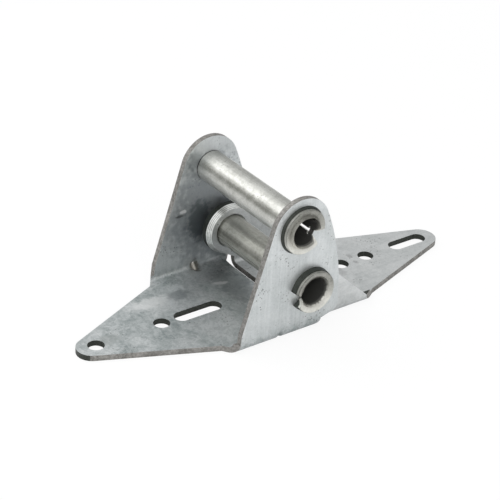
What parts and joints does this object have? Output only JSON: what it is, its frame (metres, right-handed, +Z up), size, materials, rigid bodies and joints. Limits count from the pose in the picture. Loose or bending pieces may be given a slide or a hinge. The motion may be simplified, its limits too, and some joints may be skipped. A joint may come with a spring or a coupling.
{
  "type": "garage door hinge",
  "caption": "Folded steel hinge for a sectional door: a bracket with two tall ears, a leaf that swings between them, and split tubes that take a roller's stem.",
  "frame": {"origin": "on the face that lies against the door panel, straight below the lower tube's axis and midway between the tall ears", "axes": "+X along the tubes, +Y from the bracket's leaf towards the swinging leaf, +Z up from the door panel"},
  "size_m": [0.0768, 0.1941, 0.0666],
  "materials": {
    "bracket_steel": "galvanised sheet, satin",
    "leaf_steel": "galvanised sheet, satin",
    "roller_tube_steel": "rolled strip, zinc plated",
    "pivot_tube_steel": "rolled strip, zinc plated"
  },
  "bodies": {
    "bracket": {"main_bracket": "bracket_steel", "roller_tube": "roller_tube_steel", "pivot_tube": "pivot_tube_steel"},
    "leaf": {"swing_leaf": "leaf_steel"}
  },
  "joints": [
    {"name": "leaf_swing", "type": "hinge", "parent": "bracket", "child": "leaf", "pos_m": [0, 0, 0.0217], "axis": [1, 0, 0], "range_deg": [0, 100]}
  ]
}
